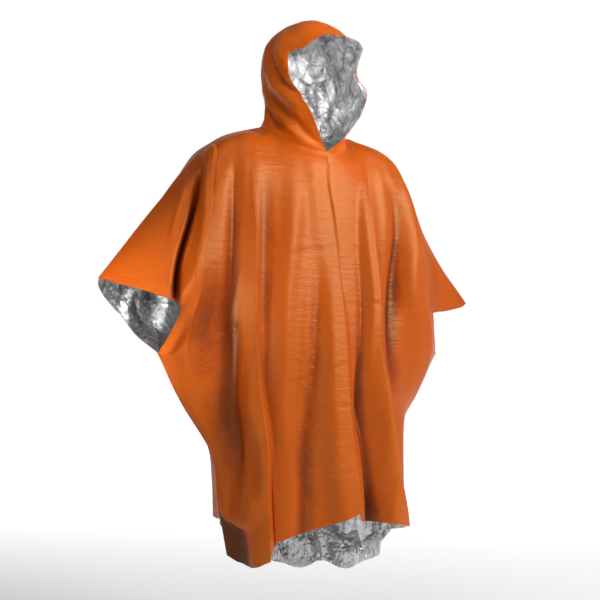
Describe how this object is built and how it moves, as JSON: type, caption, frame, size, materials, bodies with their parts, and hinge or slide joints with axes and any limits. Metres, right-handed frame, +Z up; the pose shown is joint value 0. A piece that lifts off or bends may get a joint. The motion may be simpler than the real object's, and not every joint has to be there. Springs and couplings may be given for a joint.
{
  "type": "hooded emergency poncho",
  "caption": "Hooded bat-wing emergency poncho, orange film outside and silver foil inside, hollow as worn, with wide open cuffs, an open face and a longer back hem.",
  "frame": {"origin": "where the wearer's shoulders carry the poncho: on its middle plane, level with the top of the shoulders", "axes": "+Z up, along the worn height; -Y is the front; +X is the wearer's left"},
  "size_m": [1.1416, 0.3901, 1.4531],
  "materials": {
    "front_panel": "semi-gloss orange film, silver foil on the inside",
    "back_panel": "semi-gloss orange film, silver foil on the inside",
    "hood_right": "semi-gloss orange film, silver foil on the inside",
    "hood_left": "semi-gloss orange film, silver foil on the inside"
  },
  "bodies": {
    "root": {"front_panel": "front_panel", "back_panel": "back_panel", "hood_right": "hood_right", "hood_left": "hood_left"}
  },
  "joints": []
}
